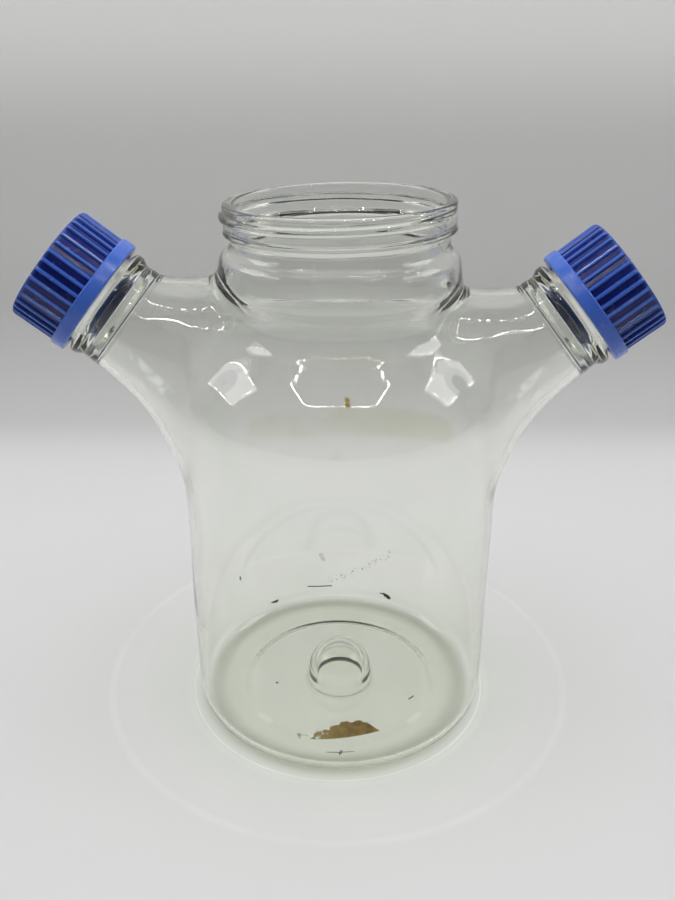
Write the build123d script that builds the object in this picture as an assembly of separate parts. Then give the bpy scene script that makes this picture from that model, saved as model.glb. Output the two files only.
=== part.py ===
from build123d import *
import math
import os

# Two-arm spinner flask vessel. Millimetres, +Z up, origin at the centre of the base on the bench.
# The arms lie in the XZ plane, one towards -X (left) and one towards +X (right).

# Body: cylinder, shoulder, waist and ring bulge, all one glass wall
BODY_RADIUS = 72.0
WALL = 3.0
HEEL_RADIUS = 12.0
SHOULDER_START = 154.0
# bends of the necked-in top: (degrees, positive towards the axis; outer radius; straight run after the bend)
NECKING = [
    (50.0, 43.0, 7.2),
    (-78.0, 12.0, 4.5),
    (34.0, 11.0, 5.5),
    (48.0, 6.0, 0.8),
    (-48.0, 4.0, 8.0),
]

# Base: dimple for the stirrer's pivot, and a shallow recess inside the ring that stands on the bench
DIMPLE_RADIUS = 16.0
DIMPLE_WALL = 3.7
DIMPLE_STRAIGHT = 8.0
DIMPLE_FOOT_BLEND = 3.0
RECESS_RADIUS = 50.0
RECESS_DEPTH = 1.2
RECESS_SLOPE_RUN = 4.0
BELOW_BASE = 1.0  # how far the tools that cut the base start below it

# Wide mouth: a ready-made threaded finish, sealed on slightly askew
FINISH_SEAM_HEIGHT = 232.0
FINISH_TILT = 1.2
FINISH_HEIGHT = 14.7
FINISH_FOOT_RADIUS = 46.1
FINISH_RADIUS = 48.6
FINISH_FLARE = 2.6
FINISH_BEAD = 0.3
FINISH_BEAD_FALL = 1.0
FINISH_BEAD_ROUND = 0.6
MOUTH_BORE_RADIUS = 44.2
MOUTH_BORE_START = 4.5
MOUTH_BORE_BLEND = 2.0
MOUTH_THROAT_RADIUS = 43.0
MOUTH_THROAT_LENGTH = 1.5
MOUTH_THROAT_BLEND = 1.0
LIP_ROUND = 1.6
MOUTH_THREAD_PITCH = 3.2
MOUTH_THREAD_TURNS = 0.97
MOUTH_THREAD_START = 7.6
MOUTH_THREAD_CREST = 50.2
MOUTH_THREAD_BASE_WIDTH = 3.8
MOUTH_THREAD_CREST_WIDTH = 1.4

# Side arms: flared tubes blown into the body
ARM_ELEVATION = 38.3
ARM_AXIS_HEIGHT = {"left": 122.6, "right": 117.8}
ARM_WELD = 117.5
# flare sections along the arm axis: (distance from the body axis, shift upwards, half height, half depth)
ARM_FLARE = [
    (ARM_WELD, 0.0, 23.9, 23.9),
    (108.0, 2.4, 27.4, 26.0),
    (98.0, 6.3, 32.3, 28.5),
    (86.0, 9.0, 39.0, 31.0),
    (70.0, 10.0, 47.0, 34.0),
    (50.0, 10.0, 52.0, 36.0),
]

# GL 45 neck on each arm: distances are along the arm axis from the body axis
NECK_TUBE_RADIUS = 23.4
NECK_BORE_AT_WELD = 20.4
NECK_BORE = 17.5
NECK_BORE_BLEND = 8.0
BEAD_RADIUS = 25.2
BEAD_CENTRE = 128.8
BEAD_HALF_WIDTH = 3.2
BEAD_SLOPE = 1.5
BEAD_CREST_END = 1.2
BEAD_ROUND = 1.6
BEAD_FOOT_ROUND = 2.0
THREAD_ROOT_RADIUS = 20.8
THREAD_ROOT_ROUND = 1.0
NECK_LIP = 154.0
NECK_LIP_ROUND = 1.4
GL45_PITCH = 4.0
GL45_TURNS = 2.0
NECK_THREAD_START = 138.6
NECK_THREAD_CREST = 22.2
NECK_THREAD_BASE_WIDTH = 2.4
NECK_THREAD_CREST_WIDTH = 1.0

# Screw cap: skirt band, ribbed grip, threaded inside
CAP_BOTTOM = 132.3
CAP_LENGTH = 26.0
CAP_SKIRT_RADIUS = 27.2
CAP_SKIRT_LENGTH = 6.2
CAP_SKIRT_ROUND = 0.8
CAP_RIB_RADIUS = 26.1
CAP_GROOVE_RADIUS = 25.0
CAP_TOP_ROUND = 2.2
CAP_TOP_THICKNESS = 2.2
CAP_BORE_RADIUS = 23.0
CAP_RIBS = 36
CAP_RIB_WIDTH = 1.5
CAP_TOP_RECESS_RADIUS = 20.0
CAP_TOP_RECESS_DEPTH = 0.4
CAP_THREAD_CREST = 21.4
CAP_THREAD_TURNS = 1.5

# Sealing disc under the cap's top
LINER_RADIUS = 22.3

EMBED = 0.4  # how far a thread's foot or a rib reaches into the wall that carries it
CUT_OVERRUN = 1.0  # how far a cutting tool runs past the face it cuts
SIDES = {"left": -1.0, "right": 1.0}


def turned(outline):
    """The solid of revolution about Z of a closed outline drawn as (radius, height)."""
    return revolve(Plane.XZ * make_face(outline), axis=Axis.Z)


def turned_rounded(corners):
    """The solid of revolution of a closed outline whose corners are (radius, height, fillet radius)."""
    points = [corner[:2] for corner in corners]
    rounding = [corner[2] for corner in corners]
    return turned(FilletPolyline(*points, radius=rounding, close=True))


def body_outline(inset):
    """The body's half section, parallel to the outside at a depth of inset, closed along the axis."""
    floor = Line((0, inset), (BODY_RADIUS - HEEL_RADIUS, inset))
    heel = JernArc(floor @ 1, floor % 1, HEEL_RADIUS - inset, 90)
    edges = [floor, heel, Line(heel @ 1, (BODY_RADIUS - inset, SHOULDER_START))]
    for turn, radius, run in NECKING:
        last = edges[-1]
        depth = -inset if turn > 0 else inset
        bend = JernArc(last @ 1, last % 1, radius + depth, turn)
        edges += [bend, Line(bend @ 1, bend @ 1 + (bend % 1) * run)]
    top = edges[-1] @ 1
    edges.append(Polyline(top, (0, top.Y), (0, inset)))
    return edges


def dimple(radius, top_wall):
    """A round-topped post on the axis, flared at its foot; top_wall lowers the dome by a wall's depth."""
    foot = radius + DIMPLE_FOOT_BLEND
    lower = WALL - top_wall
    blend = JernArc((foot, lower), (-1, 0), DIMPLE_FOOT_BLEND, -90)
    side = Line(blend @ 1, (radius, DIMPLE_STRAIGHT))
    dome = JernArc(side @ 1, side % 1, radius, 90)
    closing = Polyline(dome @ 1, (0, -BELOW_BASE), (foot, -BELOW_BASE), (foot, lower))
    return turned([closing, blend, side, dome])


def base_recess():
    """The shallow cone cut under the base, inside the standing ring."""
    inner = RECESS_RADIUS - RECESS_SLOPE_RUN
    return turned(Polyline((0, -BELOW_BASE), (RECESS_RADIUS, -BELOW_BASE), (RECESS_RADIUS, 0),
                           (inner, RECESS_DEPTH), (0, RECESS_DEPTH), close=True))


def arm_frame(side):
    """The arm's own frame: Z outwards along the arm from the body's axis, X up and across it."""
    tilt = math.radians(ARM_ELEVATION)
    outwards = (SIDES[side] * math.cos(tilt), 0, math.sin(tilt))
    upwards = (-SIDES[side] * math.sin(tilt), 0, math.cos(tilt))
    return Plane(origin=(0, 0, ARM_AXIS_HEIGHT[side]), x_dir=upwards, z_dir=outwards)


def arm_flare(side, inset):
    """One flared arm as a filled solid, from the weld down into the body."""
    frame = arm_frame(side)
    sections = []
    for distance, shift, half_height, half_depth in ARM_FLARE:
        place = frame * Pos(shift, 0, distance)
        sections.append(place * Ellipse(half_height - inset, half_depth - inset))
    return loft(sections)


def finish_frame():
    """The wide mouth's own frame, on the seam, leaning so that its right-hand side is the higher."""
    lean = math.radians(FINISH_TILT)
    return Plane(origin=(0, 0, FINISH_SEAM_HEIGHT), x_dir=(math.cos(lean), 0, math.sin(lean)),
                 z_dir=(-math.sin(lean), 0, math.cos(lean)))


def vessel_body():
    """Cylinder, shoulder, waist and bulge with both arm roots, cut off at the mouth's seam."""
    outside = turned(body_outline(0))
    inside = turned(body_outline(WALL))
    for side in SIDES:
        outside += arm_flare(side, 0)
        inside += arm_flare(side, WALL)
    inside -= dimple(DIMPLE_RADIUS, 0)
    cavity = dimple(DIMPLE_RADIUS - DIMPLE_WALL, DIMPLE_WALL)
    above_seam = finish_frame() * Pos(0, 0, FINISH_HEIGHT / 2) * Cylinder(BODY_RADIUS, FINISH_HEIGHT)
    return outside - inside - cavity - base_recess() - above_seam


def helical_ridge(radius, crest, start, pitch, turns, base_width, crest_width):
    """A trapezoid ridge wound on a cylinder, outwards if crest is larger than radius, else inwards."""
    into_wall = -EMBED if crest > radius else EMBED
    path = Pos(0, 0, start) * Helix(pitch, pitch * turns, radius)
    section = Plane(origin=path @ 0, x_dir=(1, 0, 0), z_dir=path % 0)
    half_base = base_width / 2
    half_crest = crest_width / 2
    height = crest - radius
    outline = Polyline((into_wall, -half_base), (height, -half_crest), (height, half_crest),
                       (into_wall, half_base), close=True)
    return sweep(section * make_face(outline), path=path, is_frenet=True)


def mouth_finish():
    """The wide threaded finish: foot ring, bore, thread ridge and rounded lip."""
    bead_top = FINISH_FLARE + FINISH_BEAD_FALL
    ring = turned_rounded([
        (MOUTH_THROAT_RADIUS, 0, 0),
        (FINISH_FOOT_RADIUS, 0, 0),
        (FINISH_RADIUS + FINISH_BEAD, FINISH_FLARE, FINISH_BEAD_ROUND),
        (FINISH_RADIUS, bead_top, FINISH_BEAD_ROUND),
        (FINISH_RADIUS, FINISH_HEIGHT, LIP_ROUND),
        (MOUTH_BORE_RADIUS, FINISH_HEIGHT, LIP_ROUND),
        (MOUTH_BORE_RADIUS, MOUTH_BORE_START, MOUTH_BORE_BLEND),
        (MOUTH_THROAT_RADIUS, MOUTH_THROAT_LENGTH, MOUTH_THROAT_BLEND),
    ])
    ridge = helical_ridge(FINISH_RADIUS, MOUTH_THREAD_CREST, MOUTH_THREAD_START, MOUTH_THREAD_PITCH,
                          MOUTH_THREAD_TURNS, MOUTH_THREAD_BASE_WIDTH, MOUTH_THREAD_CREST_WIDTH)
    return finish_frame() * (ring + ridge)


def arm_neck(side):
    """The GL 45 neck: tube from the weld, bead, threaded barrel and rounded lip."""
    bead_low = BEAD_CENTRE - BEAD_HALF_WIDTH
    bead_high = BEAD_CENTRE + BEAD_HALF_WIDTH
    barrel = turned_rounded([
        (NECK_BORE_AT_WELD, ARM_WELD, 0),
        (ARM_FLARE[0][2], ARM_WELD, 0),
        (NECK_TUBE_RADIUS, bead_low - BEAD_SLOPE, BEAD_FOOT_ROUND),
        (BEAD_RADIUS, bead_low + BEAD_SLOPE, BEAD_ROUND),
        (BEAD_RADIUS, BEAD_CENTRE + BEAD_CREST_END, BEAD_ROUND),
        (THREAD_ROOT_RADIUS, bead_high, THREAD_ROOT_ROUND),
        (THREAD_ROOT_RADIUS, NECK_LIP, NECK_LIP_ROUND),
        (NECK_BORE, NECK_LIP, NECK_LIP_ROUND),
        (NECK_BORE, BEAD_CENTRE, NECK_BORE_BLEND),
    ])
    ridge = helical_ridge(THREAD_ROOT_RADIUS, NECK_THREAD_CREST, NECK_THREAD_START, GL45_PITCH, GL45_TURNS,
                          NECK_THREAD_BASE_WIDTH, NECK_THREAD_CREST_WIDTH)
    return arm_frame(side) * (barrel + ridge)


def cap_grip():
    """The ribbed grip as a filled solid with a rounded top edge."""
    top = CAP_BOTTOM + CAP_LENGTH
    rib_depth = CAP_RIB_RADIUS - CAP_GROOVE_RADIUS + EMBED
    ribs = PolarLocations(CAP_RIB_RADIUS - rib_depth / 2, CAP_RIBS) * Rectangle(rib_depth, CAP_RIB_WIDTH)
    grip = Pos(0, 0, CAP_BOTTOM + CAP_SKIRT_LENGTH) * extrude(
        Circle(CAP_GROOVE_RADIUS) + ribs, CAP_LENGTH - CAP_SKIRT_LENGTH)
    envelope = turned_rounded([
        (0, CAP_BOTTOM, 0),
        (CAP_RIB_RADIUS, CAP_BOTTOM, 0),
        (CAP_RIB_RADIUS, top, CAP_TOP_ROUND),
        (0, top, 0),
    ])
    return grip & envelope


def cap_skirt():
    """The smooth band at the cap's open end as a filled solid."""
    skirt_top = CAP_BOTTOM + CAP_SKIRT_LENGTH
    return turned_rounded([
        (0, CAP_BOTTOM, 0),
        (CAP_SKIRT_RADIUS, CAP_BOTTOM, CAP_SKIRT_ROUND),
        (CAP_SKIRT_RADIUS, skirt_top, CAP_SKIRT_ROUND),
        (0, skirt_top, 0),
    ])


def cap_shell(side):
    """The screw cap: skirt band and ribbed grip, hollowed and threaded inside."""
    top = CAP_BOTTOM + CAP_LENGTH
    bore_length = CAP_LENGTH - CAP_TOP_THICKNESS
    bore = Pos(0, 0, CAP_BOTTOM - CUT_OVERRUN) * extrude(Circle(CAP_BORE_RADIUS), bore_length + CUT_OVERRUN)
    recess_bottom = Pos(0, 0, top - CAP_TOP_RECESS_DEPTH)
    recess = recess_bottom * extrude(Circle(CAP_TOP_RECESS_RADIUS), CAP_TOP_RECESS_DEPTH + CUT_OVERRUN)
    # the cap's ridge runs in the middle of the gap between two laps of the neck's
    ridge = helical_ridge(CAP_BORE_RADIUS, CAP_THREAD_CREST, NECK_THREAD_START - GL45_PITCH / 2, GL45_PITCH,
                          CAP_THREAD_TURNS, NECK_THREAD_BASE_WIDTH, NECK_THREAD_CREST_WIDTH)
    return arm_frame(side) * (cap_skirt() + cap_grip() - bore - recess + ridge)


def cap_liner(side):
    """The sealing disc held between the neck's lip and the cap's top."""
    seat = CAP_BOTTOM + CAP_LENGTH - CAP_TOP_THICKNESS
    disc = Pos(0, 0, NECK_LIP) * extrude(Circle(LINER_RADIUS), seat - NECK_LIP)
    return arm_frame(side) * disc


def build_parts():
    """Every named piece of the assembly."""
    parts = {"vessel_body": vessel_body(), "mouth_finish": mouth_finish()}
    for side in SIDES:
        parts[f"{side}_arm_neck"] = arm_neck(side)
        parts[f"{side}_cap_shell"] = cap_shell(side)
        parts[f"{side}_cap_liner"] = cap_liner(side)
    return parts


os.makedirs("parts", exist_ok=True)
for node, shape in build_parts().items():
    export_step(shape, f"parts/{node}.step")
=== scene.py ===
import math

import bmesh
import bpy
import numpy as np
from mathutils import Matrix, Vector


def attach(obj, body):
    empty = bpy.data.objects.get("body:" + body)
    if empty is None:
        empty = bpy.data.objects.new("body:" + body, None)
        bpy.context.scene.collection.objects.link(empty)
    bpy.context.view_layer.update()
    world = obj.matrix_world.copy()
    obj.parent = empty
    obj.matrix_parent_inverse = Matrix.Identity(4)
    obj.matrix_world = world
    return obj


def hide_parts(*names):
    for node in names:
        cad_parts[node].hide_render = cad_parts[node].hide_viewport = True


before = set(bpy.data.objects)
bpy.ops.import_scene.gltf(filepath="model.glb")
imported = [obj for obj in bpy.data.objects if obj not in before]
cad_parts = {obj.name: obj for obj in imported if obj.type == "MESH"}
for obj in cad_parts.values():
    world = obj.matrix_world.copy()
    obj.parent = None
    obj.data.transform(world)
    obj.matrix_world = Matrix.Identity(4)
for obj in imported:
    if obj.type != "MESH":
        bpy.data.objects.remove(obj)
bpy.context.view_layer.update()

MM = 0.001
SIDES = {"left": -1.0, "right": 1.0}

# ---- sizes shared with the CAD source, in millimetres ----
BODY_RADIUS, WALL, HEEL_RADIUS, SHOULDER_START = 72.0, 3.0, 12.0, 154.0
# the outline above the cylinder: turn in degrees, radius of the bend, straight run after it
NECKING = [(50.0, 43.0, 7.2), (-78.0, 12.0, 4.5), (34.0, 11.0, 5.5), (48.0, 6.0, 0.8),
           (-48.0, 4.0, 8.0)]
DIMPLE_RADIUS, DIMPLE_WALL, DIMPLE_STRAIGHT, DIMPLE_BLEND = 16.0, 3.7, 8.0, 3.0
RECESS_RADIUS, RECESS_DEPTH, RECESS_RUN = 50.0, 1.2, 4.0
SEAM_HEIGHT, FINISH_TILT, FINISH_HEIGHT = 232.0, 1.2, 14.7
FINISH_FOOT, FINISH_RADIUS, FINISH_FLARE = 46.1, 48.6, 2.6
MOUTH_BORE, MOUTH_BORE_START, MOUTH_THROAT, LIP_ROUND = 44.2, 4.5, 43.0, 1.6
ARM_ELEVATION, ARM_ROOT, ARM_WELD = 38.3, 48.0, 117.5
ARM_AXIS_HEIGHT = {"left": 122.6, "right": 117.8}
# flare sections: distance along the arm, shift upwards, half height, half depth
ARM_FLARE = np.array([(117.5, 0.0, 23.9, 23.9), (108.0, 2.4, 27.4, 26.0), (98.0, 6.3, 32.3, 28.5),
                      (86.0, 9.0, 39.0, 31.0), (70.0, 10.0, 47.0, 34.0), (50.0, 10.0, 52.0, 36.0)])
FLARE_MIDDLE = 85.0   # the distance that the flare's curves are fitted about
NECK_TUBE, NECK_BORE_WELD, NECK_BORE = 23.4, 20.4, 17.5
BEAD_RADIUS, BEAD_CENTRE, BEAD_HALF = 25.2, 128.8, 3.2
THREAD_ROOT, NECK_LIP, NECK_LIP_ROUND = 20.8, 154.0, 1.4
CAP_BOTTOM, CAP_LENGTH, CAP_TOP_THICKNESS, CAP_BORE = 132.3, 26.0, 2.2, 23.0
CAP_SKIRT, CAP_SKIRT_LENGTH, CAP_SKIRT_ROUND = 27.2, 6.2, 0.8
CAP_RIB, CAP_GROOVE, CAP_RIBS, CAP_TOP_ROUND = 26.1, 25.0, 36, 2.2
# helical ridges: start height, pitch, turns, width at the base, width at the crest, depth
MOUTH_THREAD = (7.6, 3.2, 0.97, 3.8, 1.4, 1.6)
NECK_THREAD = (138.6, 4.0, 2.0, 2.6, 0.9, 1.4)
CAP_THREAD = (136.6, 4.0, 1.5, 2.6, 0.9, 1.6)

NET_STEP = 1.6        # spacing of the lattice that the blown glass is drawn on
ARM_BLEND = 13.0      # reach of the soft joint between the body and an arm
CUT_LOW = 58.0        # the blown glass starts at this height, above a plain turned base
CUT_TOP = 1.0         # it stops this far below the mouth's seam
CUT_ARM = 116.0       # and at this distance along each arm
GAP = 1.2             # height of the band that joins it to the turned parts
TURN_STEPS = 192      # segments round the body
NECK_STEPS = 128      # segments round a neck
RIB_STEPS = 12        # segments round a cap for each of its ribs
BASE_SPACING, MOUTH_SPACING, NECK_SPACING, CAP_SPACING = 1.6, 0.4, 0.5, 0.5  # along each outline
PAST_SEAM = 60.0      # how far the body's outline is carried on past the seam


# ---- the turned outline of the body ----
def body_chain():
    """Lines and arcs of the outside, from the cylinder up to past the mouth's seam."""
    point = np.array([BODY_RADIUS, SHOULDER_START])
    chain = [("line", np.array([BODY_RADIUS, 0.0]), math.pi / 2, SHOULDER_START)]
    heading = math.pi / 2
    for turn, radius, run in NECKING:
        side = 1.0 if turn > 0 else -1.0
        centre = point + side * radius * np.array([-math.sin(heading), math.cos(heading)])
        start = heading - side * math.pi / 2
        sweep = math.radians(turn)
        chain.append(("arc", centre, radius, side, start + sweep / 2, abs(sweep) / 2))
        heading += sweep
        point = centre + side * radius * np.array([math.sin(heading), -math.cos(heading)])
        chain.append(("line", point, heading, run))
        point = point + run * np.array([math.cos(heading), math.sin(heading)])
    chain[-1] = ("line", *chain[-1][1:3], PAST_SEAM)
    return chain


CHAIN = body_chain()


def chain_distance(radius, height):
    """Signed distance from the body's outline, positive outside the glass."""
    best = np.full(radius.shape, 1e6)
    for part in CHAIN:
        if part[0] == "line":
            origin, heading, length = part[1:]
            dr, dz = radius - origin[0], height - origin[1]
            along = dr * math.cos(heading) + dz * math.sin(heading)
            away = dr * math.sin(heading) - dz * math.cos(heading)
            valid = (along > -1e-6) & (along < length + 1e-6)
        else:
            centre, bend, side, middle, half = part[1:]
            dr, dz = radius - centre[0], height - centre[1]
            turned = np.angle(np.exp(1j * (np.arctan2(dz, dr) - middle)))
            away = side * (np.hypot(dr, dz) - bend)
            valid = np.abs(turned) < half + 1e-6
        closer = valid & (np.abs(away) < np.abs(best))
        best = np.where(closer, away, best)
    return best


# ---- the arms' flare ----
FLARE_FIT = [np.polyfit(ARM_FLARE[:, 0] - FLARE_MIDDLE, ARM_FLARE[:, i], 4) for i in (1, 2, 3)]


def arm_axes(side):
    """The arm's origin, the direction outwards along it, and the direction up and across it."""
    tilt = math.radians(ARM_ELEVATION)
    out = np.array([SIDES[side] * math.cos(tilt), 0.0, math.sin(tilt)])
    up = np.array([-SIDES[side] * math.sin(tilt), 0.0, math.cos(tilt)])
    return np.array([0.0, 0.0, ARM_AXIS_HEIGHT[side]]), out, up


def arm_distance(points, side):
    """Approximate signed distance from one flared arm."""
    origin, out, up = arm_axes(side)
    local = points - origin
    along = local @ out
    s = np.clip(along, ARM_ROOT, ARM_WELD) - FLARE_MIDDLE
    shift, tall, deep = (np.polyval(c, s) for c in FLARE_FIT)
    shift_s, tall_s, deep_s = (np.polyval(np.polyder(c), s) for c in FLARE_FIT)
    u, v = local @ up - shift, local[:, 1]
    ratio = np.maximum(np.sqrt((u / tall) ** 2 + (v / deep) ** 2), 0.1)
    slope_s = -(u * shift_s / tall ** 2 + u * u * tall_s / tall ** 3 + v * v * deep_s / deep ** 3) / ratio
    slope = np.sqrt((u / tall ** 2) ** 2 + (v / deep ** 2) ** 2 + (ratio * slope_s) ** 2) / ratio
    tube = (ratio - 1.0) / np.maximum(slope, 0.4 / tall)
    return np.maximum(tube, ARM_ROOT - along)


def smooth_union(a, b, reach):
    """Cubic smooth minimum, so that the joined surface has no visible edge."""
    h = np.maximum(reach - np.abs(a - b), 0.0) / reach
    return np.minimum(a, b) - h ** 3 * reach / 6.0


def ripple(points):
    """The slight unevenness of glass worked by hand."""
    x, y, z = points[:, 0], points[:, 1], points[:, 2]
    slow = np.sin(0.061 * x + 0.083 * y + 1.3) * np.sin(0.071 * z - 0.047 * y + 0.4)
    fast = np.sin(0.17 * x - 0.11 * z + 2.1) * np.sin(0.15 * y + 0.13 * z)
    far = np.clip((np.abs(x) - 55.0) / 30.0, 0.0, 1.0)
    return slow * (0.10 + 0.22 * far) + fast * 0.09 * far


def blown_glass(points):
    """Signed distance from the outside of the body with its two arms."""
    body = chain_distance(np.hypot(points[:, 0], points[:, 1]), points[:, 2])
    arms = np.minimum(arm_distance(points, "left"), arm_distance(points, "right"))
    fade = np.clip((SEAM_HEIGHT - 1.0 - points[:, 2]) / 12.0, 0.0, 1.0)
    return smooth_union(body, arms, ARM_BLEND) + ripple(points) * fade


def gradient(field, points):
    """Central differences of a field."""
    h = 0.05
    steps = np.eye(3) * h
    return np.stack([(field(points + e) - field(points - e)) / (2 * h) for e in steps], axis=1)


# ---- drawing a field's surface as quads ----
def surface_net(field, low, high, step):
    """Quads over field = 0, with one vertex in each lattice cell that the surface crosses."""
    axes = [np.arange(a, b + step, step) for a, b in zip(low, high)]
    shape = [len(a) for a in axes]
    solid = np.empty(shape, bool)
    y, z = np.meshgrid(axes[1], axes[2], indexing="ij")
    for i, x in enumerate(axes[0]):
        layer = np.stack([np.full(y.size, x), y.ravel(), z.ravel()], axis=1)
        solid[i] = (field(layer) < 0).reshape(y.shape)
    corners = [solid[i:shape[0] - 1 + i, j:shape[1] - 1 + j, k:shape[2] - 1 + k]
               for i in (0, 1) for j in (0, 1) for k in (0, 1)]
    mixed = np.any(corners, axis=0) & ~np.all(corners, axis=0)
    index = np.full(mixed.shape, -1)
    index[mixed] = np.arange(mixed.sum())
    points = np.array(low) + (np.argwhere(mixed) + 0.5) * step
    quads = []
    for axis in range(3):
        one, two = [a for a in range(3) if a != axis]
        crossing = np.take(solid, range(shape[axis] - 1), axis) != np.take(solid, range(1, shape[axis]), axis)
        at = np.argwhere(crossing)
        for side in (one, two):
            at = at[(at[:, side] > 0) & (at[:, side] < shape[side] - 1)]
        ring = []
        for a, b in ((-1, -1), (0, -1), (0, 0), (-1, 0)):
            cell = at.copy()
            cell[:, one] += a
            cell[:, two] += b
            ring.append(index[tuple(cell.T)])
        quads.append(np.stack(ring, axis=1))
    return points, np.concatenate(quads)


def settle(field, points, quads, rounds=8):
    """Evens the net out while keeping it on the surface, and turns every quad's face outwards."""
    edges = np.concatenate([quads[:, [i, (i + 1) % 4]] for i in range(4)])
    for n in range(rounds + 2):
        if n < rounds:
            total, count = np.zeros_like(points), np.zeros(len(points))
            for a, b in ((0, 1), (1, 0)):
                np.add.at(total, edges[:, a], points[edges[:, b]])
                np.add.at(count, edges[:, a], 1.0)
            points = 0.4 * points + 0.6 * total / count[:, None]
        slope = gradient(field, points)
        points = points - slope * (field(points) / np.sum(slope ** 2, axis=1))[:, None]
    return points, facing(points, gradient(field, points), quads)


def facing(points, normals, faces):
    """The same faces, each wound so that it faces the way its vertices' normals do."""
    a, b, c = points[faces[:, 0]], points[faces[:, 1]], points[faces[:, 2]]
    flat = np.cross(b - a, c - a)
    wrong = np.sum(flat * normals[faces].sum(axis=1), axis=1) < 0
    return np.where(wrong[:, None], faces[:, ::-1], faces)


def trim(points, quads, planes):
    """Cuts the net at planes given as (point, direction); what lies past a plane is removed."""
    work = bmesh.new()
    for p in points:
        work.verts.new(p)
    work.verts.ensure_lookup_table()
    for q in quads:
        work.faces.new([work.verts[i] for i in q])
    for centre, direction in planes:
        everything = work.verts[:] + work.edges[:] + work.faces[:]
        bmesh.ops.bisect_plane(work, geom=everything, dist=1e-4, plane_co=centre, plane_no=direction,
                               clear_outer=True)
    loose = [v for v in work.verts if not v.link_faces]
    bmesh.ops.delete(work, geom=loose, context="VERTS")
    work.verts.index_update()
    rim = np.array([v.index for v in work.verts if v.is_boundary])
    points = np.array([v.co for v in work.verts])
    faces = [[v.index for v in f.verts] for f in work.faces]
    work.free()
    return points, faces, rim


# ---- turned surfaces ----
def rounded(corners, step):
    """Points along an open outline of (radius, height, fillet) corners, about a step apart."""
    bends = [np.array(c[:2], float) for c in corners]
    line = [bends[0]]
    for a, b, c, corner in zip(bends, bends[1:], bends[2:], corners[1:]):
        fillet = corner[2]
        before, after = (a - b) / np.linalg.norm(a - b), (c - b) / np.linalg.norm(c - b)
        half = math.acos(float(np.clip(before @ after, -1, 1))) / 2
        middle = b + (before + after) / np.linalg.norm(before + after) * fillet / math.sin(half)
        reach = fillet / math.tan(half)
        start, end = b + before * reach - middle, b + after * reach - middle
        sweep = math.pi - 2 * half
        parts = max(4, int(math.degrees(sweep) / 8), int(sweep * fillet / step))
        for t in np.linspace(0, 1, parts + 1):
            swung = math.sin((1 - t) * sweep) * start + math.sin(t * sweep) * end
            line.append(middle + swung / math.sin(sweep))
    line.append(bends[-1])
    dense = [line[0]]
    for p in line[1:]:
        gap = np.linalg.norm(p - dense[-1])
        if gap > 0.01:
            start, parts = dense[-1], max(1, round(gap / step))
            dense += [start + (p - start) * (i + 1) / parts for i in range(parts)]
    return np.array(dense)


def ridge(turned, height, thread):
    """How far a helical thread stands out, at an angle in turns and a height."""
    start, pitch, turns, base_width, crest_width, depth = thread
    total = np.zeros(np.broadcast(turned, height).shape)
    for lap in range(-1, int(turns) + 2):
        wound = turned + lap
        off = np.abs(height - start - pitch * wound)
        rise = np.clip((base_width / 2 - off) / (base_width / 2 - crest_width / 2), 0, 1)
        ends = np.clip(np.minimum(wound, turns - wound) / 0.06, 0, 1)
        bump = rise * rise * (3 - 2 * rise) * ends * ends * (3 - 2 * ends)
        total = np.maximum(total, depth * bump)
    return total


def unit(vectors):
    """The vectors made one long."""
    return vectors / np.maximum(np.linalg.norm(vectors, axis=-1, keepdims=True), 1e-12)


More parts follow.
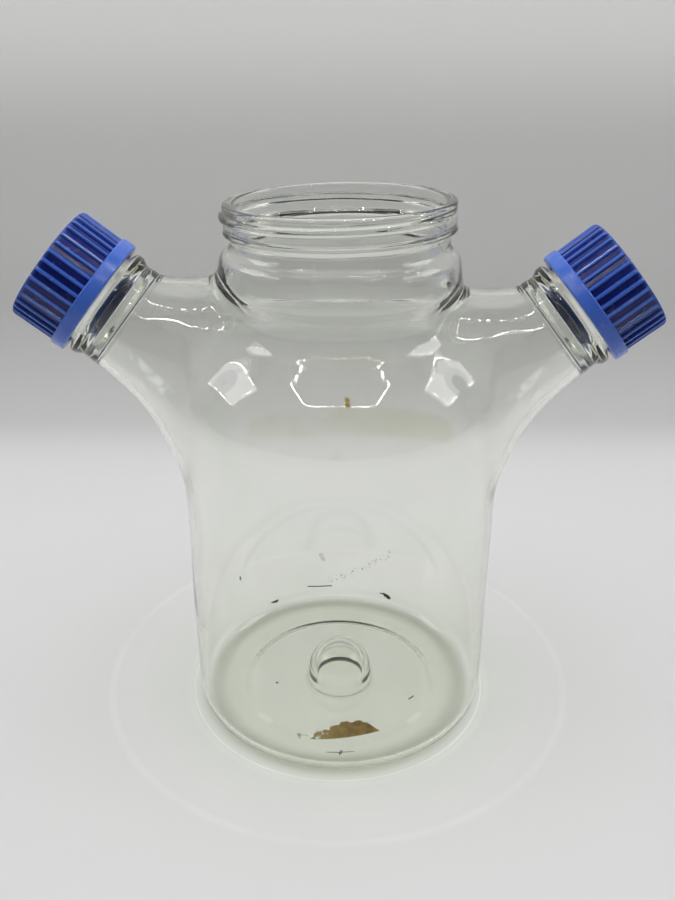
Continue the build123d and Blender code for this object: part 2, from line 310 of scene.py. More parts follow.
class Shell:
    """Patches of vertices, normals and faces gathered into one closed mesh."""

    def __init__(self):
        self.points, self.normals, self.faces = np.zeros((0, 3)), np.zeros((0, 3)), []

    def add(self, points, normals, faces):
        """Adds a patch and returns its vertices' numbers."""
        base = len(self.points)
        self.points = np.concatenate([self.points, points])
        self.normals = np.concatenate([self.normals, unit(normals)])
        self.faces += [[int(i) + base for i in f] for f in faces]
        return np.arange(len(points)) + base

    def turn(self, outline, steps, place, shape=None):
        """Turns an outline about the local Z axis; returns its first and last ring's vertices."""
        turned = np.arange(steps) / steps
        radius = np.repeat(outline[:, :1], steps, axis=1)
        height = np.repeat(outline[:, 1:], steps, axis=1)
        if shape is not None:
            radius = shape(turned[None, :], radius, height)
        cos, sin = np.cos(turned * 2 * math.pi), np.sin(turned * 2 * math.pi)
        grid = np.stack([radius * cos, radius * sin, height], axis=2)
        around = np.stack([-sin, cos, 0 * sin], axis=1)[None]
        slope = np.roll(radius, -1, axis=1) - np.roll(radius, 1, axis=1)
        across = around * radius[..., None] * 4 * math.pi / steps
        across = across + np.stack([cos, sin, 0 * sin], axis=1)[None] * slope[..., None]
        across = np.where(radius[..., None] < 1e-6, around, across)
        normal = unit(np.cross(across, np.gradient(grid, axis=0)))
        ids = np.arange(radius.size).reshape(radius.shape)
        for row in (0, -1):
            if radius[row, 0] < 1e-6:
                ids[row] = ids[row, 0]
        a, b = ids[:-1], np.roll(ids[:-1], -1, axis=1)
        c, d = np.roll(ids[1:], -1, axis=1), ids[1:]
        faces = [list(dict.fromkeys(f)) for f in np.stack([a, b, c, d], axis=2).reshape(-1, 4).tolist()]
        numbers = self.add(place(grid.reshape(-1, 3), 1.0), place(normal.reshape(-1, 3), 0.0), faces)
        rings = numbers.reshape(radius.shape)
        return rings[0], rings[-1]

    def stitch(self, one, two, centre, axis):
        """Joins two rings of vertices with a band of triangles, walking both by angle about an axis."""
        side = unit(np.cross(axis, np.array([0.3, 1.0, 0.2])))
        other = np.cross(axis, side)

        def walk(ring):
            local = self.points[ring] - centre
            angle = np.arctan2(local @ other, local @ side)
            order = np.argsort(angle)
            return ring[order], np.append(angle[order], angle[order][0] + 2 * math.pi)

        (a, ta), (b, tb) = walk(np.asarray(one)), walk(np.asarray(two))
        faces, i, j = [], 0, 0
        while i < len(a) or j < len(b):
            if j == len(b) or (i < len(a) and ta[i + 1] <= tb[j + 1]):
                faces.append((a[i], a[(i + 1) % len(a)], b[j % len(b)]))
                i += 1
            else:
                faces.append((a[i % len(a)], b[(j + 1) % len(b)], b[j]))
                j += 1
        self.faces += facing(self.points, self.normals, np.array(faces)).tolist()

    def mesh(self, name, exact_normals=True):
        """The patches as one Blender mesh, in metres."""
        used = np.unique(np.concatenate([np.array(f) for f in self.faces]))
        renumbered = np.zeros(len(self.points), int)
        renumbered[used] = np.arange(len(used))
        data = bpy.data.meshes.new(name)
        data.from_pydata((self.points[used] * MM).tolist(), [], [renumbered[f].tolist() for f in self.faces])
        data.polygons.foreach_set("use_smooth", [True] * len(data.polygons))
        if exact_normals:
            data.normals_split_custom_set_from_vertices(self.normals[used].tolist())
        return data


# ---- where each turned part stands ----
def upright(points, move):
    """On the body's own axis."""
    return points


def mouth_place(points, move):
    """In the mouth's frame, which leans with its right-hand side up."""
    lean = math.radians(FINISH_TILT)
    across, deep = np.array([math.cos(lean), 0, math.sin(lean)]), np.array([0, 1, 0])
    up = np.array([-math.sin(lean), 0, math.cos(lean)])
    seam = np.array([0, 0, SEAM_HEIGHT])
    return points[:, :1] * across + points[:, 1:2] * deep + points[:, 2:] * up + seam * move


def arm_place(side):
    """In an arm's frame: Z outwards along the arm, X up and across it."""
    origin, out, up = arm_axes(side)
    deep = np.cross(out, up)

    def place(points, move):
        return points[:, :1] * up + points[:, 1:2] * deep + points[:, 2:] * out + origin * move

    return place


# ---- the glass ----
def arm_cut(side, distance):
    """A point on the arm's axis and the axis itself."""
    origin, out, _ = arm_axes(side)
    return origin + out * distance, out


def on_plane(points, rim, centre, direction):
    """The rim's vertices that lie on a cutting plane."""
    return rim[np.abs((points[rim] - centre) @ direction) < 0.02]


def vessel_glass():
    """Body, arms, mouth and necks as one closed shell of glass."""
    shell = Shell()
    mouth_up = mouth_place(np.array([[0.0, 0.0, 1.0]]), 0.0)[0]
    cuts = {"base": (np.array([0.0, 0.0, CUT_LOW]), np.array([0.0, 0.0, -1.0])),
            "mouth": (mouth_place(np.array([[0.0, 0.0, -CUT_TOP]]), 1.0)[0], mouth_up)}
    cuts.update({side: arm_cut(side, CUT_ARM) for side in SIDES})
    rims = {}
    for skin, field in (("outer", blown_glass), ("inner", lambda p: -WALL - blown_glass(p))):
        low, high = (-112.0, -76.0, CUT_LOW - 4), (112.0, 76.0, SEAM_HEIGHT + 4)
        points, quads = settle(field, *surface_net(field, low, high, NET_STEP))
        points, faces, rim = trim(points, quads, cuts.values())
        numbers = shell.add(points, gradient(field, points), faces)
        for place, (centre, direction) in cuts.items():
            rims[skin, place] = numbers[on_plane(points, rim, centre, direction)]
    turned = {}
    turned["outer", "base"] = shell.turn(base_outside(), TURN_STEPS, upright)[1]
    turned["inner", "base"] = shell.turn(base_inside(), TURN_STEPS, upright)[0]
    turned["outer", "mouth"], turned["inner", "mouth"] = shell.turn(
        mouth_outline(), TURN_STEPS, mouth_place, mouth_thread)
    for side in SIDES:
        turned["outer", side], turned["inner", side] = shell.turn(
            neck_outline(), NECK_STEPS, arm_place(side), neck_thread)
    for key, ring in turned.items():
        centre, direction = cuts[key[1]]
        shell.stitch(rims[key], ring, centre, direction)
    return shell.mesh("vessel_glass")


def base_outside():
    """From the top of the dimple's hollow, under the base, round the heel and up the wall."""
    hollow = DIMPLE_RADIUS - DIMPLE_WALL
    return rounded([(0, DIMPLE_STRAIGHT + hollow, 0), (hollow, DIMPLE_STRAIGHT + hollow, hollow),
                    (hollow, RECESS_DEPTH, DIMPLE_BLEND), (RECESS_RADIUS - RECESS_RUN, RECESS_DEPTH, 4.0),
                    (RECESS_RADIUS, 0, 4.0), (BODY_RADIUS, 0, HEEL_RADIUS),
                    (BODY_RADIUS, CUT_LOW - GAP, 0)], BASE_SPACING)


def base_inside():
    """Down the wall, round the heel, over the floor and up the dimple."""
    inside = BODY_RADIUS - WALL
    top = DIMPLE_STRAIGHT + DIMPLE_RADIUS
    return rounded([(inside, CUT_LOW - GAP, 0), (inside, WALL, HEEL_RADIUS - WALL),
                    (DIMPLE_RADIUS, WALL, DIMPLE_BLEND), (DIMPLE_RADIUS, top, DIMPLE_RADIUS),
                    (0, top, 0)], BASE_SPACING)


def mouth_outline():
    """From the seam up the outside, over the lip and down the bore."""
    return rounded([(FINISH_FOOT - 0.2, -CUT_TOP + GAP, 0), (FINISH_FOOT + 0.4, 0.9, 1.0),
                    (FINISH_RADIUS + 0.5, FINISH_FLARE, 0.8), (FINISH_RADIUS, FINISH_FLARE + 1.4, 0.8),
                    (FINISH_RADIUS, FINISH_HEIGHT, LIP_ROUND), (MOUTH_BORE, FINISH_HEIGHT, LIP_ROUND),
                    (MOUTH_BORE, MOUTH_BORE_START, 2.0), (MOUTH_THROAT, 2.0, 1.5),
                    (MOUTH_THROAT, -CUT_TOP + GAP, 0)], MOUTH_SPACING)


def mouth_thread(turned, radius, height):
    """The ridge round the mouth."""
    on_ring = radius > FINISH_RADIUS - 0.2
    return radius + np.where(on_ring, ridge(turned, height, MOUTH_THREAD), 0.0)


def neck_outline():
    """From the weld out along the neck, over the bead and the threaded barrel, and back down the bore."""
    low, high = BEAD_CENTRE - BEAD_HALF, BEAD_CENTRE + BEAD_HALF
    weld = ARM_WELD + 0.6
    return rounded([(24.0, CUT_ARM + GAP, 0), (23.95, weld - 0.5, 0.4), (23.55, weld, 0.3),
                    (23.9, weld + 0.5, 0.4), (NECK_TUBE, low - 1.5, 2.0),
                    (BEAD_RADIUS, low + 1.5, 1.6), (BEAD_RADIUS, BEAD_CENTRE + 1.2, 1.6),
                    (THREAD_ROOT, high, 1.0), (THREAD_ROOT, NECK_LIP, NECK_LIP_ROUND),
                    (NECK_BORE, NECK_LIP, NECK_LIP_ROUND), (NECK_BORE, BEAD_CENTRE, 14.0),
                    (NECK_BORE_WELD + 0.6, CUT_ARM + GAP, 0)], NECK_SPACING)


def neck_thread(turned, radius, height):
    """Two turns of GL 45 thread."""
    on_barrel = (height > BEAD_CENTRE + 5.0) & (radius > THREAD_ROOT - 0.2)
    return radius + np.where(on_barrel, ridge(turned, height, NECK_THREAD), 0.0)


# ---- the caps ----
def cap_outline():
    """From the bottom of the bore round the skirt, up the grip and over the top to the axis, all outside."""
    top, skirt_top = CAP_BOTTOM + CAP_LENGTH, CAP_BOTTOM + CAP_SKIRT_LENGTH
    return rounded([(CAP_BORE + 0.4, CAP_BOTTOM, 0), (CAP_SKIRT, CAP_BOTTOM, CAP_SKIRT_ROUND),
                    (CAP_SKIRT, skirt_top, CAP_SKIRT_ROUND), (CAP_RIB, skirt_top, 0.25),
                    (CAP_RIB, top, CAP_TOP_ROUND), (20.3, top, 0.3), (19.9, top - 0.4, 0.3),
                    (0, top - 0.4, 0)], CAP_SPACING)


def cap_bore_outline():
    """From the axis under the top, down the bore to its chamfered mouth."""
    seat = CAP_BOTTOM + CAP_LENGTH - CAP_TOP_THICKNESS
    return rounded([(0, seat, 0), (CAP_BORE, seat, 0.4), (CAP_BORE, CAP_BOTTOM + 0.4, 0.1),
                    (CAP_BORE + 0.4, CAP_BOTTOM, 0)], CAP_SPACING)


def cap_ribs(turned, radius, height):
    """Grooves between the ribs, which run out into the rounded top edge."""
    phase = np.abs((turned * CAP_RIBS + 0.5) % 1.0 - 0.5) * 2 * math.pi * CAP_RIB / CAP_RIBS
    rib = np.clip((1.05 - phase) / 0.55, 0, 1)
    rib = rib * rib * (3 - 2 * rib)
    start = np.clip((height - CAP_BOTTOM - CAP_SKIRT_LENGTH + 0.01) / 0.05, 0, 1)
    limit = CAP_GROOVE + (CAP_RIB - CAP_GROOVE) * rib
    return np.where(start > 0, np.minimum(radius, np.where(radius > CAP_GROOVE, limit, radius)), radius)


def cap_thread(turned, radius, height):
    """The ridge inside the cap, halfway between the neck's."""
    return radius - np.where(radius > CAP_BORE - 0.1, ridge(turned, height, CAP_THREAD), 0.0)


def cap_mesh(side):
    """One screw cap."""
    shell = Shell()
    steps = CAP_RIBS * RIB_STEPS
    shell.turn(cap_outline(), steps, arm_place(side), cap_ribs)
    shell.turn(cap_bore_outline(), steps, arm_place(side), cap_thread)
    data = shell.mesh(f"{side}_cap", exact_normals=False)
    work = bmesh.new()
    work.from_mesh(data)
    bmesh.ops.remove_doubles(work, verts=work.verts, dist=1e-6)
    work.to_mesh(data)
    work.free()
    data.set_sharp_from_angle(angle=math.radians(50))
    return data


def add_object(data, body, material, *nodes):
    """Links a mesh as a piece that rides on a body and stands for CAD nodes."""
    piece = bpy.data.objects.new(data.name, data)
    bpy.context.scene.collection.objects.link(piece)
    data.materials.append(material)
    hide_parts(*nodes)
    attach(piece, body)
    return piece


# ---- materials ----
class Look:
    """A node material with a Principled surface and short helpers for procedural inputs."""

    def __init__(self, name, **values):
        self.material = bpy.data.materials.new(name)
        self.material.use_nodes = True
        self.tree = self.material.node_tree
        self.shader = self.tree.nodes["Principled BSDF"]
        self.output = self.tree.nodes["Material Output"]
        self.place = self.tree.nodes.new("ShaderNodeTexCoord").outputs["Object"]
        for key, value in values.items():
            self.shader.inputs[key.replace("_", " ")].default_value = value

    def node(self, kind, inputs=(), **settings):
        """A new node with its settings and inputs, which are values or other nodes' outputs."""
        made = self.tree.nodes.new(kind)
        for key, value in settings.items():
            setattr(made, key, value)
        for key, value in dict(inputs).items():
            if isinstance(value, bpy.types.NodeSocket):
                self.tree.links.new(value, made.inputs[key])
            else:
                made.inputs[key].default_value = value
        return made

    def link(self, source, socket):
        """Feeds a Principled input."""
        self.tree.links.new(source, self.shader.inputs[socket])

    def math(self, operation, a, b=0.0, clamp=False):
        """One math step."""
        return self.node("ShaderNodeMath", {0: a, 1: b}, operation=operation, use_clamp=clamp).outputs[0]

    def noise(self, scale, detail=3.0, where=None):
        """A noise value about 0.5."""
        inputs = {"Vector": where or self.place, "Scale": scale, "Detail": detail}
        return self.node("ShaderNodeTexNoise", inputs).outputs["Fac"]

    def ramp(self, value, low, high, start=0.0, end=1.0):
        """A value carried smoothly from one range to another."""
        inputs = {"Value": value, 1: low, 2: high, 3: start, 4: end}
        return self.node("ShaderNodeMapRange", inputs, interpolation_type="SMOOTHSTEP").outputs[0]

    def mix(self, factor, one, two):
        """A colour between two."""
        made = self.node("ShaderNodeMix", data_type="RGBA")
        for socket, value in ((made.inputs[0], factor), (made.inputs[6], one), (made.inputs[7], two)):
            if isinstance(value, bpy.types.NodeSocket):
                self.tree.links.new(value, socket)
            else:
                socket.default_value = value
        return made.outputs[2]

    def millimetres(self):
        """The surface's own X, Y and Z in millimetres."""
        scaled = self.node("ShaderNodeVectorMath", {0: self.place, "Scale": 1000.0}, operation="SCALE")
        return self.node("ShaderNodeSeparateXYZ", {0: scaled.outputs[0]}).outputs

    def length(self, x, y):
        """The length of a flat vector."""
        return self.math("SQRT", self.math("ADD", self.math("MULTIPLY", x, x), self.math("MULTIPLY", y, y)))

    def ring(self, radius, middle, width, strength):
        """A soft band about a radius."""
        away = self.math("ABSOLUTE", self.math("SUBTRACT", radius, middle))
        return self.ramp(away, 0.0, width, strength, 0.0)

    def most(self, values):
        """The greatest of several values."""
        total = values[0]
        for value in values[1:]:
            total = self.math("MAXIMUM", total, value)
        return total

    def stroke(self, flat, start, end, half, soft=0.25):
        """One pen stroke from start to end on an unrolled surface."""
        run = (end[0] - start[0], end[1] - start[1], 0.0)
        length = run[0] ** 2 + run[1] ** 2
        vector = "ShaderNodeVectorMath"
        offset = self.node(vector, {0: flat, 1: (*start, 0.0)}, operation="SUBTRACT").outputs[0]
        dot = self.node(vector, {0: offset, 1: run}, operation="DOT_PRODUCT").outputs["Value"]
        along = self.math("DIVIDE", dot, length, clamp=True)
        nearest = self.node(vector, {0: run, "Scale": along}, operation="SCALE").outputs[0]
        gap = self.node(vector, {0: offset, 1: nearest}, operation="DISTANCE").outputs["Value"]
        return self.ramp(gap, half, half + soft, 1.0, 0.0)

    def bump(self, height, strength, distance):
        """Fine relief."""
        made = self.node("ShaderNodeBump", {"Height": height, "Strength": strength, "Distance": distance})
        self.link(made.outputs[0], "Normal")


# pen marks on the front wall as (start, end, half width), each point as millimetres round the wall and height
INK = [((-13.2, 104.2), (-3.6, 105.2), 0.10), ((-29.3, 93.0), (-26.4, 95.0), 0.15),
       ((-28.4, 93.3), (-26.8, 94.1), 0.15), ((16.4, 100.4), (18.4, 99.5), 0.10),
       ((18.0, 99.9), (18.6, 98.6), 0.30), ((19.0, 99.0), (20.0, 97.4), 0.40),
       ((19.8, 98.4), (20.6, 97.0), 0.30), ((-5.9, 16.9), (-1.4, 17.0), 0.05),
       ((-1.4, 17.0), (0.3, 16.6), 0.10), ((0.1, 17.9), (-0.2, 15.6), 0.10),
       ((0.9, 18.2), (0.5, 16.3), 0.08), ((0.5, 17.1), (6.2, 17.3), 0.03)]
SPECKS = [((-45.0, 99.3), (-44.9, 100.6), 0.1), ((31.5, 41.5), (33.5, 42.1), 0.1),
          ((-28.4, 51.4), (-28.0, 51.6), 0.2)]
# other marks as (start, end)
SMEAR = ((-3.0, 108.0), (20.0, 118.5))
THUMB_MARK = ((-7.8, 119.6), (-6.8, 117.4))
BROWN_SPOT = ((2.6, 180.4), (3.4, 180.2))
SHOULDER_STRIP = ((-35.0, 173.8), (45.0, 175.5))
WAIST_STRIP = ((-24.0, 193.0), (26.0, 193.0))


def tape_residue(look, arc, height):
    """The torn brown strip near the base: straight along its slanted lower edge and ragged above."""
    rag = look.math("MULTIPLY", look.math("SUBTRACT", look.noise(260.0, 5.0), 0.5), 7.0)
    low = look.math("ADD", look.math("MULTIPLY", arc, 0.128), 25.1)
    above = look.ramp(look.math("SUBTRACT", height, low), -0.1, 0.25)
    top = look.math("ADD", look.ramp(arc, -17.0, 5.0, 26.3, 34.2), rag)
    corner = look.math("SUBTRACT", 45.4, arc)
    below = look.ramp(look.math("SUBTRACT", look.math("MINIMUM", top, corner), height), -0.1, 0.5)
    ends = look.math("MULTIPLY", look.ramp(arc, -19.8, -18.6), look.ramp(arc, 17.6, 18.4, 1.0, 0.0))
    shape = look.math("MULTIPLY", look.math("MULTIPLY", above, below), ends)
    worn = look.math("ADD", look.noise(420.0, 5.0), look.ramp(arc, -18.0, 4.0, -0.10, 0.28))
    return look.math("MULTIPLY", shape, look.ramp(worn, 0.40, 0.56))


def glass_look():
    """Clear borosilicate with old pen marks and tape residue. Lamps light the bench through it."""
    look = Look("clear_glass", IOR=1.474)
    x, y, height = look.millimetres()
    radius = look.length(x, y)
    arc = look.math("MULTIPLY", look.math("ARCTAN2", x, look.math("MULTIPLY", y, -1.0)), BODY_RADIUS)
    flat = look.node("ShaderNodeCombineXYZ", {0: arc, 1: height}).outputs[0]
    outside = look.ramp(radius, BODY_RADIUS - 1.6, BODY_RADIUS - 1.4)
    ink = look.math("MULTIPLY", look.most([look.stroke(flat, *mark) for mark in INK]), outside)
    specks = look.math("MULTIPLY", look.most([look.stroke(flat, *mark, 0.5) for mark in SPECKS]), outside)
    smear = look.stroke(flat, *SMEAR, 0.0, 2.8)
    smear = look.math("MULTIPLY", smear, look.ramp(look.noise(900.0, 2.0), 0.52, 0.66))
    smear = look.math("MULTIPLY", smear, outside)
    thumb = look.math("MULTIPLY", look.stroke(flat, *THUMB_MARK, 0.3, 0.9), outside)
    tape = look.math("MULTIPLY", tape_residue(look, arc, height), outside)
    spot = look.stroke(flat, *BROWN_SPOT, 0.5, 0.7)
    bowed = look.math("MULTIPLY", look.math("MULTIPLY", arc, arc), 0.0042)
    bent = look.node("ShaderNodeCombineXYZ", {0: arc, 1: look.math("ADD", height, bowed)}).outputs[0]
    patchy = look.ramp(look.noise(38.0, 4.0), 0.36, 0.62, 0.15, 0.9)
    strip = look.math("MULTIPLY", look.stroke(bent, *SHOULDER_STRIP, 3.6, 2.6), patchy)
    waist = look.math("MULTIPLY", look.stroke(flat, *WAIST_STRIP, 2.4, 1.6), patchy)
    film = look.ramp(look.noise(35.0, 4.0), 0.45, 0.75)
    clean = look.mix(film, (0.992, 0.996, 0.988, 1), (0.968, 0.976, 0.958, 1))
    stains = look.math("MAXIMUM", strip, look.math("MULTIPLY", waist, 0.5))
    stained = look.mix(stains, clean, (0.92, 0.935, 0.82, 1))
    grain = look.ramp(look.noise(300.0, 4.0), 0.35, 0.65)
    brown = look.mix(grain, (0.42, 0.27, 0.055, 1), (0.22, 0.115, 0.018, 1))
    brown = look.mix(look.ramp(arc, -16.0, 12.0), (0.50, 0.38, 0.12, 1), brown)
    tinted = look.mix(look.math("MAXIMUM", tape, spot), stained, brown)
    smudge = look.math("MULTIPLY", look.math("MAXIMUM", smear, thumb), 0.5)
    tinted = look.mix(smudge, tinted, (0.32, 0.33, 0.30, 1))
    look.link(look.mix(look.math("MAXIMUM", ink, specks), tinted, (0.012, 0.012, 0.014, 1)), "Base Color")
    dull = look.math("MULTIPLY", look.math("MAXIMUM", tape, spot), 0.86)
    dull = look.most([dull, ink, look.math("MULTIPLY", specks, 0.7), look.math("MULTIPLY", smear, 0.2),
                      look.math("MULTIPLY", thumb, 0.25)])
    look.link(look.math("SUBTRACT", 1.0, dull), "Transmission Weight")
    look.link(look.math("MULTIPLY", look.most([tape, spot, ink]), 0.6), "Roughness")
    tint = look.node("ShaderNodeVolumeAbsorption", {"Color": (0.80, 0.84, 0.56, 1), "Density": 18.0})
    look.tree.links.new(tint.outputs[0], look.output.inputs["Volume"])
    rays = look.node("ShaderNodeLightPath")
    passing = look.math("MAXIMUM", rays.outputs["Is Shadow Ray"], rays.outputs["Is Diffuse Ray"])
    clear = look.node("ShaderNodeBsdfTransparent", {"Color": (0.94, 0.95, 0.93, 1)})
    both = look.node("ShaderNodeMixShader", {0: passing})
    look.tree.links.new(look.shader.outputs[0], both.inputs[1])
    look.tree.links.new(clear.outputs[0], both.inputs[2])
    look.tree.links.new(both.outputs[0], look.output.inputs["Surface"])
    return look.material


def cap_look(side):
    """Moulded royal-blue polypropylene, paler on the ribs' crests as a painted highlight and darker down in
    the grooves as painted shade.
    """
    look = Look(f"{side}_blue_polypropylene", IOR=1.49)
    origin, out, _ = arm_axes(side)
    vector = "ShaderNodeVectorMath"
    start, axis = tuple(origin * MM), tuple(out)
    local = look.node(vector, {0: look.place, 1: start}, operation="SUBTRACT").outputs[0]
    along = look.node(vector, {0: local, 1: axis}, operation="DOT_PRODUCT").outputs["Value"]
    off = look.node(vector, {0: local, 1: axis}, operation="CROSS_PRODUCT").outputs[0]
    radius = look.node(vector, {0: off}, operation="LENGTH").outputs["Value"]
    top, skirt_top = CAP_BOTTOM + CAP_LENGTH, CAP_BOTTOM + CAP_SKIRT_LENGTH
    # painted highlight on the rib crests and painted shade in the grooves, set by distance from the cap's
    # axis; the skirt and the top edge get set tones between the two
    crest_highlight = look.ramp(radius, CAP_GROOVE * MM, CAP_RIB * MM)
    plain = look.most([look.ramp(along, (skirt_top - 0.2) * MM, skirt_top * MM, 0.45, 0.0),
                       look.ramp(along, (top - CAP_TOP_ROUND) * MM, (top - 0.3) * MM, 0.0, 0.5)])
    cloud = look.ramp(look.noise(60.0, 3.0), 0.35, 0.7, -0.05, 0.05)
    shade = look.math("ADD", look.math("MAXIMUM", crest_highlight, plain), cloud, clamp=True)
    look.link(look.mix(shade, (0.006, 0.016, 0.17, 1), (0.070, 0.170, 0.68, 1)), "Base Color")
    look.link(look.ramp(look.noise(220.0, 4.0), 0.3, 0.75, 0.16, 0.30), "Roughness")
    look.bump(look.noise(900.0, 2.0), 0.05, 0.0002)
    return look.material


def seal_look():
    """Off-white elastomer of the sealing discs."""
    look = Look("seal_elastomer")
    look.link(look.mix(look.noise(150.0), (0.70, 0.70, 0.67, 1), (0.80, 0.80, 0.78, 1)), "Base Color")
    look.link(look.ramp(look.noise(300.0), 0.3, 0.7, 0.55, 0.7), "Roughness")
    return look.material


NEAR_RINGS, FAR_RINGS = (-1.0, 3.0), (-1.0, 12.0)  # centres of the painted rings of light and the painted shadow on the bench


def paper_look():
    """The pale bench with painted rings of light that the glass throws on it and a painted shadow round its
    base, and the wall behind, greyer with painted shade.
    """
    look = Look("pale_backdrop", Roughness=0.55)
    look.shader.inputs["Specular IOR Level"].default_value = 0.15
    x, y, height = look.millimetres()
    grain = look.mix(look.noise(3.0, 2.0), (0.78, 0.78, 0.785, 1), (0.81, 0.81, 0.812, 1))
    # painted shade and light by height: darker from the floor up into the cove and low on the wall, paler
    # again higher up
    sheet = look.mix(look.ramp(height, 1.0, 24.0), grain, (0.65, 0.65, 0.648, 1))
    sheet = look.mix(look.ramp(height, 50.0, 160.0), sheet, (0.70, 0.70, 0.695, 1))
    sheet = look.mix(look.ramp(height, 225.0, 330.0), sheet, (0.93, 0.93, 0.92, 1))
    near, far = (look.length(look.math("SUBTRACT", x, centre[0]), look.math("SUBTRACT", y, centre[1]))
                 for centre in (NEAR_RINGS, FAR_RINGS))
    # painted light: rings of light from the glass, painted into the bench's colour
    broken = look.ramp(look.noise(22.0, 3.0), 0.35, 0.65, 0.45, 1.0)
    rings = [look.ring(near, 75.0, 0.9, 1.0), look.ring(near, 77.5, 3.5, 0.30),
             look.ring(far, 118.5, 3.5, 0.22), look.ring(far, 104.0, 4.0, 0.12),
             look.ramp(far, 112.0, 119.0, 0.08, 0.0)]
    glow = look.math("MULTIPLY", look.most(rings), broken)
    # painted shadow: a dark ring on the bench under and round the glass's base
    shaded = look.mix(look.ring(near, 65.0, 9.0, 0.60), sheet, (0.27, 0.28, 0.23, 1))
    look.link(look.mix(glow, shaded, (1.0, 1.0, 1.0, 1)), "Base Color")
    return look.material


# ---- the studio ----
FLOOR_FRONT, FLOOR_BACK, FLOOR_HALF_WIDTH = -1200.0, 235.0, 1400.0
COVE_RADIUS, COVE_STEPS, WALL_TOP = 110.0, 24, 1500.0


def backdrop():
    """Floor and back wall joined by a cove."""
    profile = [(FLOOR_FRONT, 0.0), (FLOOR_BACK, 0.0)]
    for i in range(1, COVE_STEPS + 1):
        a = i / COVE_STEPS * math.pi / 2
        profile.append((FLOOR_BACK + COVE_RADIUS * math.sin(a), COVE_RADIUS * (1 - math.cos(a))))
    profile.append((FLOOR_BACK + COVE_RADIUS, WALL_TOP))
    points = [(x * MM, y * MM, z * MM) for y, z in profile for x in (-FLOOR_HALF_WIDTH, FLOOR_HALF_WIDTH)]
    faces = [(2 * i, 2 * i + 1, 2 * i + 3, 2 * i + 2) for i in range(len(profile) - 1)]
    data = bpy.data.meshes.new("backdrop")
    data.from_pydata(points, [], faces)
    data.polygons.foreach_set("use_smooth", [True] * len(faces))
    data.materials.append(paper_look())
    sheet = bpy.data.objects.new("backdrop", data)
    bpy.context.scene.collection.objects.link(sheet)


LED_SPACING, LED_HALF, LED_GLOW, LED_CORNER_STEPS = 14.0, 3.2, 90.0, 12
# centre, size, corner radius and the direction each dotted frame faces
LED_FRAMES = [((0.0, -235.0, 600.0), (440.0, 310.0), 60.0, (0.0, 0.0, -1.0)),
              ((-860.0, 100.0, 700.0), (420.0, 420.0), 20.0, (0.8, -0.1, -0.55)),
              ((860.0, 100.0, 700.0), (420.0, 420.0), 20.0, (-0.8, -0.1, -0.55))]


def led_outline(size, corner):
    """Evenly spaced points round a rounded rectangle."""
    path = []
    for quarter, (sx, sy) in enumerate(((1, 1), (-1, 1), (-1, -1), (1, -1))):
        for i in range(LED_CORNER_STEPS + 1):
            a = (quarter + i / LED_CORNER_STEPS) * math.pi / 2
            path.append((sx * (size[0] / 2 - corner) + corner * math.cos(a),
                         sy * (size[1] / 2 - corner) + corner * math.sin(a)))
    path = np.array(path + path[:1])
    length = np.append(0, np.cumsum(np.linalg.norm(np.diff(path, axis=0), axis=1)))
    stops = np.arange(0, length[-1], LED_SPACING)
    return np.stack([np.interp(stops, length, path[:, i]) for i in (0, 1)], axis=1)


def led_frames():
    """Dotted rectangles of light whose reflections show in the glass."""
    work = bmesh.new()
    for centre, size, corner, facing_way in LED_FRAMES:
        turn = Vector(facing_way).to_track_quat("Z", "Y")
        for x, y in led_outline(size, corner):
            spots = [turn @ Vector((x + dx * LED_HALF, y + dy * LED_HALF, 0.0)) + Vector(centre)
                     for dx, dy in ((-1, -1), (1, -1), (1, 1), (-1, 1))]
            work.faces.new([work.verts.new(spot * MM) for spot in spots])
    data = bpy.data.meshes.new("led_frames")
    work.to_mesh(data)
    work.free()
    glow = bpy.data.materials.new("led_glow")
    glow.use_nodes = True
    glow.node_tree.nodes.clear()
    light = glow.node_tree.nodes.new("ShaderNodeEmission")
    light.inputs["Strength"].default_value = LED_GLOW
    output = glow.node_tree.nodes.new("ShaderNodeOutputMaterial")
    glow.node_tree.links.new(light.outputs[0], output.inputs["Surface"])
    data.materials.append(glow)
    lamp = bpy.data.objects.new("led_frames", data)
    bpy.context.scene.collection.objects.link(lamp)
    lamp.visible_diffuse = False
    lamp.visible_camera = False
    lamp.visible_shadow = False


def area_light(name, place, target, size, power, shine):
    """A soft rectangular light aimed at a point, which shows in reflections only if it shines."""
    data = bpy.data.lights.new(name, "AREA")
    data.shape = "RECTANGLE"
    data.size, data.size_y = size[0] * MM, size[1] * MM
    data.energy = power
    lamp = bpy.data.objects.new(name, data)
    lamp.location = Vector(place) * MM
    aim = (Vector(target) - Vector(place)).to_track_quat("-Z", "Y")
    lamp.rotation_euler = aim.to_euler()
    lamp.visible_glossy = shine
    lamp.visible_transmission = shine
    bpy.context.scene.collection.objects.link(lamp)


# name, place, the point it is aimed at, size, power in watts, whether it shows in reflections
LAMPS = [("top_light", (0, -150, 1150), (0, 0, 0), (1100, 900), 9.4, False),
         ("left_light", (-860, 100, 700), (0, 0, 150), (400, 400), 1.3, True),
         ("right_light", (860, 100, 700), (0, 0, 150), (400, 400), 1.3, True)]
SKY_HEIGHTS, SKY_STRENGTHS = (-0.2, 0.9), (0.44, 0.83)


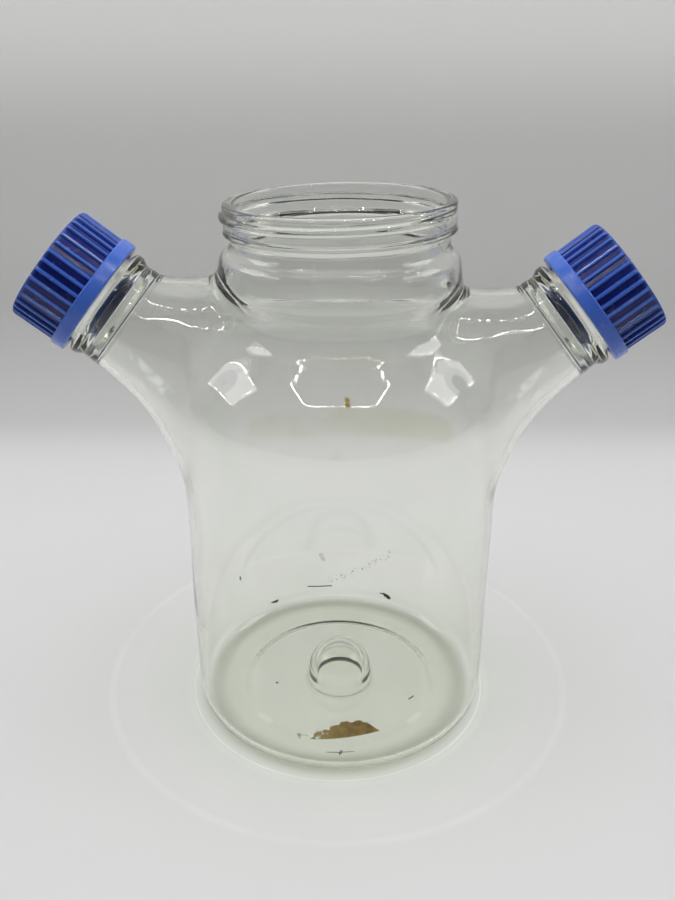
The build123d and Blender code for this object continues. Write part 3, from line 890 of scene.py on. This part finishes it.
def studio():
    """Backdrop, soft lights and the surrounding light."""
    backdrop()
    led_frames()
    for lamp in LAMPS:
        area_light(*lamp)
    world = bpy.data.worlds.new("studio")
    bpy.context.scene.world = world
    world.use_nodes = True
    nodes, links = world.node_tree.nodes, world.node_tree.links
    shade = nodes["Background"]
    place = nodes.new("ShaderNodeTexCoord")
    split = nodes.new("ShaderNodeSeparateXYZ")
    ramp = nodes.new("ShaderNodeMapRange")
    links.new(place.outputs["Generated"], split.inputs[0])
    links.new(split.outputs["Z"], ramp.inputs["Value"])
    ramp.inputs[1].default_value, ramp.inputs[2].default_value = SKY_HEIGHTS
    ramp.inputs[3].default_value, ramp.inputs[4].default_value = SKY_STRENGTHS
    links.new(ramp.outputs[0], shade.inputs["Strength"])


CAMERA_PLACE = (-1.16, -373.9, 304.9)
CAMERA_DOWN = 24.75
CAMERA_LENS = 35.34


def camera():
    """The viewpoint, a little above the mouth and looking down."""
    data = bpy.data.cameras.new("camera")
    data.sensor_width = 36.0
    data.lens = CAMERA_LENS
    data.clip_start, data.clip_end = 0.01, 20.0
    eye = bpy.data.objects.new("camera", data)
    eye.location = Vector(CAMERA_PLACE) * MM
    eye.rotation_euler = (math.radians(90.0 - CAMERA_DOWN), 0.0, 0.0)
    bpy.context.scene.collection.objects.link(eye)
    bpy.context.scene.camera = eye


def build():
    """The pieces of the visual model."""
    glass = add_object(vessel_glass(), "vessel", glass_look(),
                       "vessel_body", "mouth_finish", "left_arm_neck", "right_arm_neck")
    seal = seal_look()
    for side in SIDES:
        cap = add_object(cap_mesh(side), f"{side}_cap", cap_look(side), f"{side}_cap_shell")
        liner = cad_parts[f"{side}_cap_liner"]
        liner.data.materials.clear()
        liner.data.materials.append(seal)


LIGHT_BOUNCES = 24  # enough for rays to pass every wall of the glass

build()
studio()
camera()
bpy.context.scene.view_settings.view_transform = "Standard"
bpy.context.scene.cycles.max_bounces = LIGHT_BOUNCES
bpy.context.scene.cycles.transmission_bounces = LIGHT_BOUNCES
